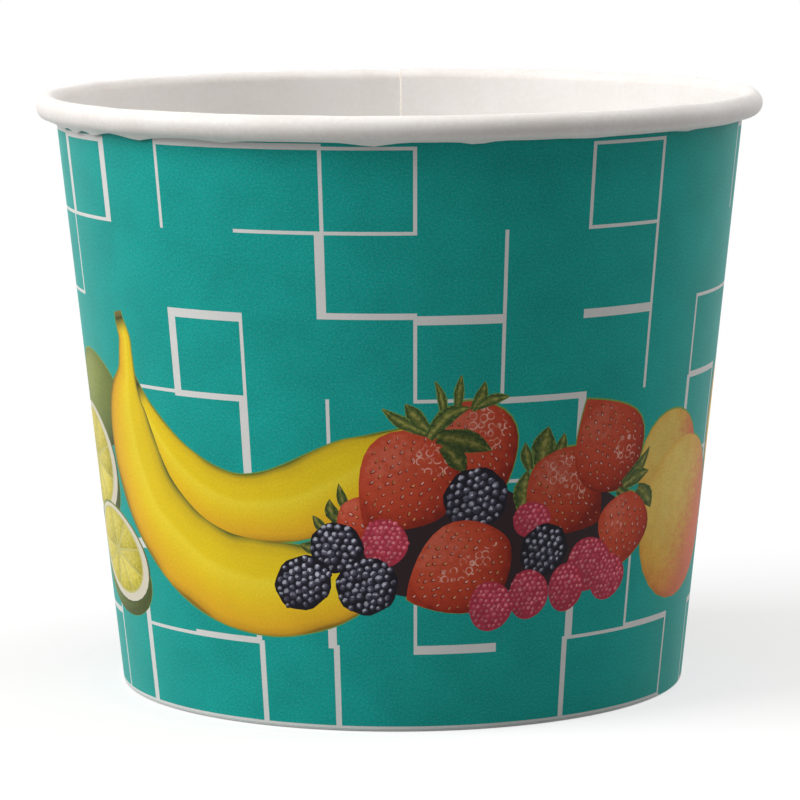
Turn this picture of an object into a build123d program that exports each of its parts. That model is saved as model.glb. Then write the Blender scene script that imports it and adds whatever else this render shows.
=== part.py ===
"""Paper dessert cup: a printed board sidewall with a rolled rim, and a board disc for its floor.

The cup stands on the origin with its axis along +Z. Sizes are in millimetres. The sidewall is one
blank, wrapped to a cone and glued along a lap at the back (+Y). Its top is rolled outwards into the
rim, and its foot is folded in and up as a hem. The disc's skirt points down and is held between the
wall and that hem, so the foot is three plies thick.
"""

import os
from math import acos, asin, atan2, cos, degrees, hypot, radians, sin, tan

from build123d import *

# Driving dimensions
rim_diameter = 96.0  # over the rolled rim
cup_height = 78.5  # from the table to the top of the rim
foot_diameter = 75.0  # over the wall, at the table
board = 0.35  # thickness of the coated board
curl_diameter = 2.8  # of the roll that makes the rim
curl_gap = 75.0  # degrees left open between the roll's raw edge and the wall
floor_height = 8.0  # from the table up to the underside of the floor
hem_clearance = 1.5  # from the hem's raw edge up to the underside of the floor
lap_width = 7.0  # of the glued side seam, at half height
seam_azimuth = 90.0  # degrees from +X to the seam, at the back
seal_film = 0.02  # between plies that are sealed together
foot_radius = 0.3  # on both edges of the fold at the foot
skirt_clearance = 0.3  # from the skirt's raw edge to the fold below it
floor_bend_radius = 0.3  # inside the bend from floor to skirt
seam_margin = 0.2  # from the ends of the lap to the curl and to the fold

# The wall's outer face is a straight line in the section, from the foot to a tangent of the roll.
curl_radius = curl_diameter / 2
roll_inside = curl_radius - board
curl_centre = Vector(rim_diameter / 2 - curl_radius, cup_height - curl_radius)
foot_corner = Vector(foot_diameter / 2, 0)
reach = hypot(curl_centre.X - foot_corner.X, curl_centre.Y)
wall_lean = atan2(curl_centre.X - foot_corner.X, curl_centre.Y) - asin(roll_inside / reach)


def face_at(height, depth):
    """The point of the section at this height, on the face that lies depth inside the outer one."""
    radius = foot_corner.X + height * tan(wall_lean) - depth / cos(wall_lean)
    return Vector(radius, height)


# Depths of the plies' faces at the foot, from the wall's outer face inwards.
wall_inside = board
skirt_outside = board + seal_film
skirt_inside = skirt_outside + board
hem_outside = skirt_inside + seal_film
hem_inside = hem_outside + board

# The roll starts where the wall touches it, and turns clockwise in the section.
full_turn = 360
roll_start = full_turn / 2 - degrees(wall_lean)
roll_sweep = curl_gap - full_turn
inward = Vector(-cos(wall_lean), sin(wall_lean))
wall_top_outer = curl_centre + inward * roll_inside
wall_top_inner = curl_centre + inward * curl_radius

# Heights of the disc, of the hem that holds it and of the ends of the lap.
floor_top = floor_height + board
hem_height = floor_height - hem_clearance
skirt_foot = board + skirt_clearance
lap_low = foot_radius + seam_margin
lap_high = wall_top_outer.Y - seam_margin

# The lap's outer ply leaves the cone on a flat run, and is one ply further out at the seam.
ply = board / cos(wall_lean)
mid_radius = face_at(cup_height / 2, 0).X
lap_angle = degrees(lap_width / mid_radius)
run_angle = degrees(acos(mid_radius / (mid_radius + ply)))
cut_margin = ply / 2  # so that the cut passes both faces of the wall
seam_plane = Plane.XZ.rotated((0, 0, seam_azimuth))


def around(radius, azimuth):
    """A point of a level plan at this radius and azimuth."""
    turn = radians(azimuth)
    return Vector(radius * cos(turn), radius * sin(turn))


def ply_section(inner, outer):
    """Four points of the section along the lap, between two level distances from the wall's face."""
    low = face_at(lap_low, 0)
    high = face_at(lap_high, 0)
    near = Vector(inner, 0)
    far = Vector(outer, 0)
    return [low + near, low + far, high + far, high + near]


with BuildPart() as sidewall:
    # One section carries the rolled rim, the wall, the fold at the foot and the hem.
    with BuildSketch(Plane.XZ) as section:
        with BuildLine():
            rim_face = CenterArc(curl_centre, curl_radius, roll_start, roll_sweep)
            print_face = CenterArc(curl_centre, roll_inside, roll_start, roll_sweep)
            Line(rim_face @ 1, print_face @ 1)
            Polyline(
                wall_top_outer,
                foot_corner,
                face_at(0, hem_inside),
                face_at(hem_height, hem_inside),
                face_at(hem_height, hem_outside),
                face_at(board, hem_outside),
                face_at(board, wall_inside),
                wall_top_inner,
            )
        make_face()
        foot_edges = section.vertices().group_by(Axis.Y)[0]
        fillet(foot_edges, foot_radius)
    revolve(axis=Axis.Z)

    # The cone is open where the ply that arrives at the seam leaves it.
    with BuildSketch(seam_plane):
        with BuildLine():
            Polyline(*ply_section(-ply - cut_margin, cut_margin), close=True)
        make_face()
    revolve(axis=Axis.Z, revolution_arc=run_angle, mode=Mode.SUBTRACT)

    # That ply runs flat to the seam, so inside the other ply's raw edge shows.
    for height in (lap_low, lap_high):
        radius = face_at(height, 0).X
        with BuildSketch(Plane.XY.offset(height)):
            with BuildLine():
                Polyline(
                    around(radius - ply, seam_azimuth + run_angle),
                    around(radius, seam_azimuth + run_angle),
                    around(radius + ply, seam_azimuth),
                    around(radius, seam_azimuth),
                    close=True,
                )
            make_face()
    loft(ruled=True)

    # It then lies glued on the other ply, for the width of the lap.
    with BuildSketch(seam_plane):
        with BuildLine():
            Polyline(*ply_section(0, ply), close=True)
        make_face()
    revolve(axis=Axis.Z, revolution_arc=-lap_angle)
sidewall.part.label = "sidewall"

with BuildPart() as base_disc:
    with BuildSketch(Plane.XZ) as disc_section:
        with BuildLine():
            Polyline(
                (0, floor_height),
                face_at(floor_height, skirt_inside),
                face_at(skirt_foot, skirt_inside),
                face_at(skirt_foot, skirt_outside),
                face_at(floor_top, skirt_outside),
                (0, floor_top),
                close=True,
            )
        make_face()
        levels = disc_section.vertices().group_by(Axis.Y)
        bend_outside = levels[-1].sort_by(Axis.X)[-1]
        bend_inside = levels[-2].sort_by(Axis.X)[-1]
        fillet(bend_outside, floor_bend_radius + board)
        fillet(bend_inside, floor_bend_radius)
    revolve(axis=Axis.Z)
base_disc.part.label = "base_disc"

os.makedirs("parts", exist_ok=True)
for piece in (sidewall, base_disc):
    export_step(piece.part, f"parts/{piece.part.label}.step")
    print(piece.part.label, round(piece.part.volume, 1), "mm3")
print("wall leans", round(degrees(wall_lean), 2), "degrees")
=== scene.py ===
# %% [markdown]
# # A paper dessert cup with a fruit print
#
# A paper cup is two pieces of coated board. The sidewall is a flat printed blank that is wrapped to a
# cone, glued along a lap at the back, rolled outwards at the top and folded in at the foot. The base
# disc is held in that fold. This lesson makes the blank flat first, with its print as real fields of
# colour, and then wraps it, in the order in which the factory does it.

# %% Load the frame
import math
import random

import bpy
import numpy as np
from mathutils import Matrix, Vector
from mathutils.geometry import delaunay_2d_cdt


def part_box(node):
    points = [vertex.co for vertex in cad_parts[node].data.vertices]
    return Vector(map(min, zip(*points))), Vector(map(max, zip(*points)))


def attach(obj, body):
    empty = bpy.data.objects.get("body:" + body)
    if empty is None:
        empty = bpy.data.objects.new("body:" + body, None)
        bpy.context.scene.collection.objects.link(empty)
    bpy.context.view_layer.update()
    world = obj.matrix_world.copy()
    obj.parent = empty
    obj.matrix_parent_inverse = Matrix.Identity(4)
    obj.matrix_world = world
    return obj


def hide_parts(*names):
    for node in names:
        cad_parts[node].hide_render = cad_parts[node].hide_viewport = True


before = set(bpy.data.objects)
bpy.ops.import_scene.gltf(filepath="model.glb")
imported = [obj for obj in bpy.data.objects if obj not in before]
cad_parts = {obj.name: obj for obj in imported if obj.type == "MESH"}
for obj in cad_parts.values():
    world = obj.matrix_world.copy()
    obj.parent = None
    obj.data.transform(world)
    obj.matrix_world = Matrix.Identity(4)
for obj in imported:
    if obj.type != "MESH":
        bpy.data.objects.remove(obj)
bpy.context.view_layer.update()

# %% [markdown]
# ## Sizes
#
# The frame gives the height and the rim. The board, the roll and the hem are sizes of the real cup,
# and a thin film of seal lies between the plies at its foot. Everything on the flat blank is written
# in millimetres, because that is how print is laid out. Blender's own unit is the metre, so lengths
# are turned into metres when the blank is wrapped.

# %% Name the sizes of the cup
MM = 0.001
sidewall_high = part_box("sidewall")[1]
rim_radius = sidewall_high[0] / MM
cup_height = sidewall_high[2] / MM
foot_radius = 37.5
board = 0.35
seal_film = 0.02
roll_width = 2.82
roll_height = 3.1
hem_depth = 3 * board + 2 * seal_film
hem_height = 6.5
fold_radius = board + seal_film / 2
lap_width = 7.0
print("rim radius", round(rim_radius, 2), "mm, height", round(cup_height, 2), "mm")

# %% [markdown]
# ## The section of the wall
#
# Cut the cup in half and the board is a line: up from the hem's raw edge, round the fold, up the wall
# and round the roll. The line below follows the printed face, so the white face lies one board's
# thickness to its left. The roll is a little taller than it is wide, as it is after the lid size is
# pressed, so it is part of an ellipse, and the wall runs into it along a tangent.


# %% Work out the section line
def rounded_corner(before, corner, after, radius, steps):
    """Points of the arc that rounds a corner between two straight runs."""
    before, corner, after = Vector(before), Vector(corner), Vector(after)
    back = (before - corner).normalized()
    ahead = (after - corner).normalized()
    half = back.angle(ahead) / 2
    centre = corner + (back + ahead).normalized() * radius / math.sin(half)
    start = corner + back * radius / math.tan(half) - centre
    turn = math.pi - 2 * half
    points = []
    for step in range(steps + 1):
        angle = turn * step / steps
        points.append(centre + Matrix.Rotation(angle, 2) @ start)
    return points


def tangent_angle(outside, centre, half_width, half_height):
    """The ellipse's parameter where a line from a point outside touches its left side."""
    x = (outside[0] - centre[0]) / half_width
    y = (outside[1] - centre[1]) / half_height
    return math.atan2(y, x) % math.tau - math.acos(1 / math.hypot(x, y))


roll_centre = (rim_radius - roll_width / 2, cup_height - roll_height / 2)
print_half_width = roll_width / 2 - board
print_half_height = roll_height / 2 - board
foot_corner = (foot_radius, 0.0)
roll_start = tangent_angle(foot_corner, roll_centre, print_half_width, print_half_height)
roll_end = math.radians(-118)


def on_roll(angle):
    """A point of the printed face inside the roll."""
    return Vector((roll_centre[0] + print_half_width * math.cos(angle),
                   roll_centre[1] + print_half_height * math.sin(angle)))


wall_top = on_roll(roll_start)
wall_lean = math.atan2(wall_top.x - foot_radius, wall_top.y)
hem_corner = (foot_radius - hem_depth / math.cos(wall_lean), 0.0)
hem_top = (hem_corner[0] + hem_height * math.tan(wall_lean), hem_height)
print("the wall leans", round(math.degrees(wall_lean), 2), "degrees; roll starts at",
      round(math.degrees(roll_start), 1), "and ends at", round(math.degrees(roll_end), 1))

# %% [markdown]
# The section line is a curve object, because the wrapping tree samples it by length. Straight runs
# get a point close to each end, so that the direction of the curve is true right up to the bends. For
# the same reason the line goes on a little past the roll's raw edge.

# %% Lay the section line out and keep its stations
END_GAP = 0.05


def straight_run(start, end, distances):
    """Points on a straight run at these distances, where a negative one counts back from the end."""
    start, end = Vector(start), Vector(end)
    length = (end - start).length
    along = (end - start).normalized()
    return [start + along * (distance if distance >= 0 else length + distance) for distance in distances]


fold_steps = 4
fold_inner = rounded_corner(hem_top, hem_corner, foot_corner, fold_radius, fold_steps)
fold_outer = rounded_corner(hem_corner, foot_corner, wall_top, fold_radius, fold_steps)
rows_at_foot = [0, END_GAP, 0.6, 1.4, 2.4, 3.8]
rows_at_top = [-4.5, -3, -1.5, -0.6, -END_GAP]
even_step = 6.4
even_rows = [rows_at_foot[-1] + even_step * step for step in range(1, 11)]
roll_steps = 34
spare_degrees = 8
roll_angles = [roll_start + (roll_end - roll_start) * step / roll_steps for step in range(roll_steps + 1)]
spare_roll = [on_roll(roll_end - math.radians(spare_degrees * step)) for step in (1, 2, 3, 4)]

hem_points = straight_run(hem_top, fold_inner[0], (0, END_GAP, 3, -END_GAP))
wall_points = straight_run(fold_outer[-1], wall_top, rows_at_foot + even_rows + rows_at_top)
roll_points = [on_roll(angle) for angle in roll_angles]
section = hem_points + fold_inner + fold_outer + wall_points[1:] + roll_points
wall_first = len(hem_points + fold_inner + fold_outer) - 1
wall_last = wall_first + len(wall_points)

steps_between = [(b - a).length for a, b in zip(section, section[1:])]
stations = np.concatenate([[0.0], np.cumsum(steps_between)])
foot_station = stations[wall_first]
top_station = stations[wall_last]


def new_object(name, data):
    """An object with this data, linked into the scene."""
    made = bpy.data.objects.new(name, data)
    bpy.context.scene.collection.objects.link(made)
    return made


def new_line_object(name, points):
    """A curve object of straight runs through these points, which are in millimetres."""
    curve = bpy.data.curves.new(name, "CURVE")
    curve.dimensions = "3D"
    spline = curve.splines.new("POLY")
    spline.points.add(len(points) - 1)
    for target, point in zip(spline.points, points):
        target.co = (point.x * MM, 0.0, point.y * MM, 1.0)
    return new_object(name, curve)


section_line = new_line_object("section_line", section + spare_roll)
print("section:", len(section), "stations over", round(stations[-1], 1), "mm; the printed wall runs from",
      round(foot_station, 2), "to", round(top_station, 2))

# %% [markdown]
# ## A small helper for node trees
#
# Geometry and material nodes are built in the same way: add a node, set its choices, feed its inputs.
# This class does that in one call, so that a tree reads like the list of its steps. Nearly all values
# of a noise lie between the two numbers below.

# %% Define the node helper
NOISE_LOW = 0.3
NOISE_HIGH = 0.7


class Graph:
    """A node tree that grows by one node with each call."""

    def __init__(self, tree):
        self.tree = tree

    def add(self, kind, inputs=None, **choices):
        """Adds a node, sets its choices and feeds its inputs with sockets or plain values."""
        made = self.tree.nodes.new(kind)
        for choice, value in choices.items():
            setattr(made, choice, value)
        for key, value in (inputs or {}).items():
            if isinstance(value, bpy.types.NodeSocket):
                self.tree.links.new(value, made.inputs[key])
            else:
                made.inputs[key].default_value = value
        return made

    def math(self, operation, *values, clamp=False):
        """The result of one Math node."""
        made = self.add("ShaderNodeMath", dict(enumerate(values)), operation=operation, use_clamp=clamp)
        return made.outputs[0]

    def remap(self, value, old_low, old_high, new_low, new_high, smooth=True):
        """A value carried from one range to another, held at both ends."""
        kind = "SMOOTHSTEP" if smooth else "LINEAR"
        feeds = {"Value": value, "From Min": old_low, "From Max": old_high,
                 "To Min": new_low, "To Max": new_high}
        return self.add("ShaderNodeMapRange", feeds, interpolation_type=kind).outputs["Result"]

    def vector(self, x, y, z):
        """Three numbers put together."""
        return self.add("ShaderNodeCombineXYZ", {0: x, 1: y, 2: z}).outputs[0]

    def noise(self, place, scale, detail):
        """A noise with this many waves to the unit."""
        feeds = {"Vector": place, "Scale": scale, "Detail": detail}
        return self.add("ShaderNodeTexNoise", feeds).outputs[0]

    def draw(self, seed, offset, low=0.0, high=1.0):
        """A number drawn by chance for each element. The offset makes it a draw of its own."""
        feeds = {2: low, 3: high, "Seed": self.math("ADD", seed, offset)}
        return self.add("FunctionNodeRandomValue", feeds, data_type="FLOAT").outputs[1]


def geometry_tree(name, inputs):
    """The graph of a new Geometry Nodes tree, its named inputs and its output node."""
    tree = bpy.data.node_groups.new(name, "GeometryNodeTree")
    tree.is_modifier = True
    tree.interface.new_socket("Geometry", in_out="OUTPUT", socket_type="NodeSocketGeometry")
    tree.interface.new_socket("Geometry", in_out="INPUT", socket_type="NodeSocketGeometry")
    for label, kind in inputs.items():
        tree.interface.new_socket(label, in_out="INPUT", socket_type="NodeSocket" + kind)
    graph = Graph(tree)
    return graph, graph.add("NodeGroupInput").outputs, graph.add("NodeGroupOutput")


def grown(name, tree, values, start_mesh=None):
    """The plain mesh that a tree makes of a start mesh with these input values."""
    carrier = new_object(name, start_mesh or bpy.data.meshes.new(name))
    modifier = carrier.modifiers.new(name, "NODES")
    modifier.node_group = tree
    for item in tree.interface.items_tree:
        if item.in_out == "INPUT" and item.name in values:
            modifier[item.identifier] = values[item.name]
    evaluated = carrier.evaluated_get(bpy.context.evaluated_depsgraph_get())
    mesh = bpy.data.meshes.new_from_object(evaluated)
    bpy.data.objects.remove(carrier)
    mesh.name = name
    return mesh


print("helper ready")

# %% [markdown]
# ## The tree that wraps the blank
#
# The factory winds the flat blank round a cone-shaped mandrel. The tree does the same: a point's place
# across the blank becomes an angle round the axis, its place along the blank becomes a length along
# the section line, and its depth in the board moves it off that line. Near the seam the arriving ply
# leaves the cone on a flat run, and it is one board further out where it lies on the other ply. The
# lap is pressed thin at the foot, so the rise fades there. The roll is a little uneven, mostly
# downwards, so that the cup keeps its height. The direction from the print into the board is noted for
# each point, for its lighting. The cut edges get bare board last.

# %% Build the wrapping tree
wrap, given, result = geometry_tree("Wrap the blank", {
    "Section": "Object", "Print Radius": "Float", "Board": "Float", "Run Angle": "Float",
    "Foot Station": "Float", "Top Station": "Float", "Fade Length": "Float",
    "Rise At Foot": "Float", "Rise In Roll": "Float", "Roll Unevenness": "Float",
    "Cut Edge": "Material", "Seed": "Float"})
place = wrap.add("ShaderNodeSeparateXYZ", {0: wrap.add("GeometryNodeInputPosition").outputs[0]})
across, along, up = place.outputs
depth = wrap.math("MULTIPLY", up, -1.0)
angle = wrap.math("DIVIDE", across, given["Print Radius"])

line = wrap.add("GeometryNodeObjectInfo", {"Object": given["Section"]}, transform_space="ORIGINAL")
sample = wrap.add("GeometryNodeSampleCurve", {"Curves": line.outputs["Geometry"], "Length": along},
                  mode="LENGTH", use_all_curves=False)
spot = wrap.add("ShaderNodeSeparateXYZ", {0: sample.outputs["Position"]})
heading = wrap.add("ShaderNodeSeparateXYZ", {0: sample.outputs["Tangent"]})
normal_out = wrap.math("MULTIPLY", heading.outputs[2], -1.0)
normal_up = heading.outputs[0]

past_run = wrap.math("SUBTRACT", given["Run Angle"], wrap.math("ADD", angle, math.pi))
bend = wrap.math("MINIMUM", wrap.math("MAXIMUM", past_run, 0.0), given["Run Angle"])
leaving = wrap.math("SUBTRACT", wrap.math("DIVIDE", 1.0, wrap.math("COSINE", bend)), 1.0)
full_run = wrap.math("DIVIDE", 1.0, wrap.math("COSINE", given["Run Angle"]))
share = wrap.math("DIVIDE", leaving, wrap.math("SUBTRACT", full_run, 1.0))
foot_fade_end = wrap.math("ADD", given["Foot Station"], given["Fade Length"])
top_fade_start = wrap.math("SUBTRACT", given["Top Station"], given["Fade Length"])
from_foot = wrap.remap(along, given["Foot Station"], foot_fade_end,
                       given["Rise At Foot"], 1.0)
to_roll = wrap.remap(along, top_fade_start, given["Top Station"],
                     1.0, given["Rise In Roll"])
rise = wrap.math("MULTIPLY", wrap.math("MULTIPLY", from_foot, to_roll),
                 wrap.math("MULTIPLY", share, given["Board"]))

droop = wrap.add("GeometryNodeInputNamedAttribute", {"Name": "droop"}, data_type="FLOAT")
sine = wrap.math("SINE", angle)
cosine = wrap.math("COSINE", angle)
wobble_scale = 5.0
sideways_share = 0.5
wobble = wrap.noise(wrap.vector(sine, cosine, given["Seed"]), wobble_scale, detail=2.0)
in_roll = wrap.remap(along, top_fade_start, given["Top Station"], 0.0, 1.0)
uneven = wrap.math("MULTIPLY", wrap.math("SUBTRACT", wobble, NOISE_HIGH),
                   wrap.math("MULTIPLY", in_roll, given["Roll Unevenness"]))
level = wrap.math("SUBTRACT", depth, rise)
radius = wrap.math("ADD", spot.outputs[0], wrap.math("MULTIPLY", normal_out, level))
radius = wrap.math("ADD", radius, wrap.math("MULTIPLY", uneven, sideways_share))
height = wrap.math("ADD", spot.outputs[2], wrap.math("MULTIPLY", normal_up, level))
height = wrap.math("ADD", wrap.math("SUBTRACT", height, droop.outputs[0]), uneven)
height = wrap.math("MAXIMUM", height, 0.0)
front_share = wrap.math("MULTIPLY", cosine, -1.0)


def round_the_axis(outwards, upwards):
    """A place or a direction in the cup's section, turned round the axis by the point's angle."""
    return wrap.vector(wrap.math("MULTIPLY", outwards, sine),
                       wrap.math("MULTIPLY", outwards, front_share), upwards)


inward = round_the_axis(normal_out, normal_up)
wrapped = round_the_axis(radius, height)
noted = wrap.add("GeometryNodeStoreNamedAttribute", {
    "Geometry": given["Geometry"], "Name": "inward", "Value": inward}, data_type="FLOAT_VECTOR")
moved = wrap.add("GeometryNodeSetPosition", {"Geometry": noted.outputs[0], "Position": wrapped})
whole = wrap.add("GeometryNodeRealizeInstances", {"Geometry": moved.outputs[0]})
cut = wrap.add("GeometryNodeInputNamedAttribute", {"Name": "cut_edge"}, data_type="BOOLEAN")
edged = wrap.add("GeometryNodeSetMaterial", {"Geometry": whole.outputs[0], "Selection": cut.outputs[0],
                                             "Material": given["Cut Edge"]})
wrap.tree.links.new(edged.outputs[0], result.inputs["Geometry"])
print("wrapping tree:", len(wrap.tree.nodes), "nodes")

# %% [markdown]
# ## Colours as they are written in print
#
# A printer gives colours as three numbers from 0 to 255. Blender's shaders want them linear, so one
# small function turns the first into the second, and every colour of the cup goes through it.

# %% Define the colour function
def colour(red, green, blue):
    """A screen colour of 0 to 255 a channel, as the linear colour that shaders use."""
    def linear(value):
        value /= 255
        return value / 12.92 if value <= 0.04045 else ((value + 0.055) / 1.055) ** 2.4
    return (linear(red), linear(green), linear(blue), 1.0)


print("teal ink is", [round(value, 3) for value in colour(9, 165, 156)])

# %% [markdown]
# ## Finishes
#
# The printed face is ink on coated board: colour that varies a little, a fine grain from the printing
# screen and the board's fibres, and a soft satin gloss. All inks share that, so one function makes the
# satin base, and each ink only says how its own colour is worked out. Two UV maps carry the patterns.
# "print" holds millimetres across and up the blank. "shape" runs from -1 to 1 over each round fruit, and
# from 0 to 1 along a banana or a leaf. Noises over the print have their scale in waves per millimetre,
# and those of the relief have it in waves per metre.

# %% Define the satin finish
film_index = 1.46
satin_roughness = 0.48
satin_gloss = 0.14
satin_relief = 0.012
screen_scale = 3.4
cloud_scale = 0.16
fibre_scale = 900.0
wave_scale = 90.0
wave_height = 3.0
upper_left = (-0.45, 0.5, 0.74)
light_all_round = 0.35
light_gain = 0.74


def new_finish(name, roughness, gloss):
    """A material with this roughness and gloss, the graph of its nodes and its shader."""
    material = bpy.data.materials.new(name)
    material.use_nodes = True
    shader = material.node_tree.nodes["Principled BSDF"]
    shader.inputs["Roughness"].default_value = roughness
    shader.inputs["IOR"].default_value = film_index
    shader.inputs["Specular IOR Level"].default_value = gloss
    return material, Graph(material.node_tree), shader


def add_relief(graph, shader, fibres, waves, strength, relief):
    """Gives a shader fine fibres on broad waves, with this relief in millimetres."""
    height = graph.math("ADD", fibres, graph.math("MULTIPLY", waves, wave_height))
    bump = graph.add("ShaderNodeBump", {"Height": height, "Strength": strength, "Distance": relief * MM})
    graph.tree.links.new(bump.outputs[0], shader.inputs["Normal"])


def rough_noise(graph, scale, low, high, detail=2.0):
    """A noise over the print, in waves per millimetre, carried to this range."""
    printed = graph.add("ShaderNodeUVMap", uv_map="print").outputs[0]
    noise = graph.noise(printed, scale, detail)
    return graph.remap(noise, NOISE_LOW, NOISE_HIGH, low, high, smooth=False)


def satin_finish(name, paint, grain):
    """A material of coated board: paint(graph) gives its colour, and grain says how much that varies."""
    material, graph, shader = new_finish(name, satin_roughness, satin_gloss)
    dots = rough_noise(graph, screen_scale, 1 - grain, 1 + grain)
    clouds = rough_noise(graph, cloud_scale, 1 - grain / 2, 1 + grain / 2, detail=3.0)
    gain = graph.math("MULTIPLY", dots, clouds)
    tint = graph.add("ShaderNodeAttribute", attribute_name="tint", attribute_type="GEOMETRY")
    toned = graph.add("ShaderNodeVectorMath", {0: paint(graph), 1: tint.outputs["Color"]},
                      operation="MULTIPLY").outputs[0]
    grained = graph.add("ShaderNodeVectorMath", {0: toned, "Scale": gain}, operation="SCALE").outputs[0]
    graph.tree.links.new(grained, shader.inputs["Base Color"])
    where = graph.add("ShaderNodeTexCoord").outputs["Object"]
    fibres = graph.noise(where, fibre_scale, detail=3.0)
    waves = graph.noise(where, wave_scale, detail=1.0)
    add_relief(graph, shader, fibres, waves, strength=0.5, relief=satin_relief)
    return material


def ramp(graph, factor, stops):
    """A run of colours along a factor, from (position, colour) pairs."""
    made = graph.add("ShaderNodeValToRGB", {0: factor})
    elements = made.color_ramp.elements
    while len(elements) < len(stops):
        elements.new(0.5)
    for element, (position, shade) in zip(elements, sorted(stops, key=lambda stop: stop[0])):
        element.position = position
        element.color = shade
    return made.outputs[0]


def across_shape(graph):
    """The two coordinates of the shape's own map, from -1 to 1."""
    own = graph.add("ShaderNodeUVMap", uv_map="shape").outputs[0]
    parts = graph.add("ShaderNodeSeparateXYZ", {0: own})
    return parts.outputs[0], parts.outputs[1]


def ball_light(graph):
    """How strongly a round fruit would be lit from the upper left, from 0 to 1 over its outline."""
    u, v = across_shape(graph)
    square = graph.math("ADD", graph.math("MULTIPLY", u, u), graph.math("MULTIPLY", v, v))
    bulge = graph.math("SQRT", graph.math("MAXIMUM", graph.math("SUBTRACT", 1.0, square), 0.0))
    facing = graph.vector(u, v, bulge)
    lit = graph.add("ShaderNodeVectorMath", {0: facing, 1: upper_left}, operation="DOT_PRODUCT")
    whole_light = graph.math("ADD", lit.outputs["Value"], light_all_round)
    return graph.math("MULTIPLY", whole_light, light_gain, clamp=True)


def plain(red, green, blue):
    """Paint of one colour, for inks whose variation is the grain alone."""
    def paint(graph):
        made = graph.add("ShaderNodeRGB")
        made.outputs[0].default_value = colour(red, green, blue)
        return made.outputs[0]
    return paint


print("satin finish ready")

# %% [markdown]
# ## The inks
#
# A printed fruit is a photograph of a fruit, so it carries its own light and shade. Each ink below
# works that out from the fruit's own map: a ball that is lit from the upper left for berries and
# peaches, and long ridges for a banana. That keeps the shade in the print when the cup is turned. The
# list at the end gives each ink its paint and the strength of its grain.

# %% Define the paints of the fruit
def blend(graph, share, first, second):
    """One colour where the share is 0, and another where it is 1."""
    return graph.add("ShaderNodeMix", {"Factor": share, "A": first, "B": second},
                     data_type="RGBA").outputs["Result"]


def stops(*pairs):
    """Stops of a ramp from pairs of a position and a colour of 0 to 255 a channel."""
    return [(position, colour(*shade)) for position, shade in pairs]


def banana_paint(graph):
    """Ridges run along the skin. The stem is olive and dark at its neck, and the far tip is green."""
    u, v = across_shape(graph)
    wander = rough_noise(graph, 0.12, -0.035, 0.035, detail=1.0)
    side = graph.math("ADD", graph.math("ADD", graph.math("MULTIPLY", v, 0.5), 0.5), wander)
    skin = ramp(graph, side, stops(
        (0.00, (146, 114, 40)), (0.04, (212, 158, 42)), (0.12, (235, 180, 42)), (0.30, (242, 198, 40)),
        (0.42, (244, 209, 42)), (0.56, (247, 219, 54)), (0.64, (240, 208, 34)), (0.80, (237, 204, 36)),
        (0.92, (222, 189, 38)), (0.97, (174, 154, 46)), (1.00, (100, 108, 44))))
    stem = ramp(graph, u, stops((0.0, (126, 118, 62)), (0.030, (104, 98, 48)), (0.046, (58, 60, 28)),
                                (0.066, (134, 124, 46)), (0.11, (206, 182, 50))))
    stemmed = blend(graph, graph.remap(u, 0.07, 0.125, 0.0, 1.0), stem, skin)
    tip = graph.remap(u, 0.935, 0.975, 0.0, 0.9)
    return blend(graph, tip, stemmed, colour(62, 92, 50))


def ball_paint(shades, mottle=0.08):
    """Paint of a round thing that is lit from the upper left, with these colours from dark to light."""
    def paint(graph):
        light = graph.math("ADD", ball_light(graph), rough_noise(graph, 1.6, -mottle, mottle))
        return ramp(graph, light, stops(*shades))
    return paint


def strawberry_paint(graph):
    """Red flesh, orange where light falls on it and darker away from it."""
    light = graph.math("ADD", ball_light(graph), rough_noise(graph, 0.9, -0.10, 0.10))
    return ramp(graph, light, stops((0.0, (126, 38, 27)), (0.3, (170, 56, 37)), (0.62, (194, 72, 46)),
                                    (0.88, (204, 83, 57)), (1.0, (214, 102, 78))))


def glossy_strawberry_paint(graph):
    """The same flesh, where light rings each seed's pit. The rings are broken here and there."""
    printed = graph.add("ShaderNodeUVMap", uv_map="print").outputs[0]
    pits = graph.add("ShaderNodeTexVoronoi", {"Vector": printed, "Scale": 0.92, "Randomness": 0.45})
    off_ring = graph.math("SUBTRACT", pits.outputs["Distance"], rough_noise(graph, 0.9, 0.40, 0.48))
    ring = graph.remap(graph.math("ABSOLUTE", off_ring), 0.03, 0.10, 1.0, 0.0)
    shown = graph.math("MULTIPLY", ring, rough_noise(graph, 0.8, -0.6, 1.7), clamp=True)
    return blend(graph, shown, strawberry_paint(graph), colour(236, 176, 160))


def leaf_paint(graph):
    """A leaf is olive in its middle and dark at its rim, with a pale edge here and there."""
    v = across_shape(graph)[1]
    side = graph.math("ADD", graph.math("ABSOLUTE", v), rough_noise(graph, 1.5, -0.3, 0.3))
    return ramp(graph, side, stops((0.0, (158, 156, 84)), (0.14, (122, 126, 60)), (0.5, (84, 100, 50)),
                                   (0.82, (48, 70, 40)), (1.0, (112, 128, 62))))


def peach_paint(graph):
    """Yellow skin, orange towards its rim, with a red blush at its right side and foot."""
    u, v = across_shape(graph)
    light = graph.math("ADD", ball_light(graph), rough_noise(graph, 0.5, -0.09, 0.09))
    skin = ramp(graph, light, stops((0.0, (178, 102, 48)), (0.35, (218, 146, 64)), (0.7, (230, 180, 80)),
                                    (1.0, (236, 204, 106))))
    lean = graph.math("SUBTRACT", u, graph.math("MULTIPLY", v, 0.45))
    stipple = rough_noise(graph, 1.3, -0.3, 0.3)
    blush = graph.remap(graph.math("ADD", lean, stipple), -0.3, 0.8, 0.0, 0.9)
    return blend(graph, blush, skin, colour(230, 118, 88))


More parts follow.
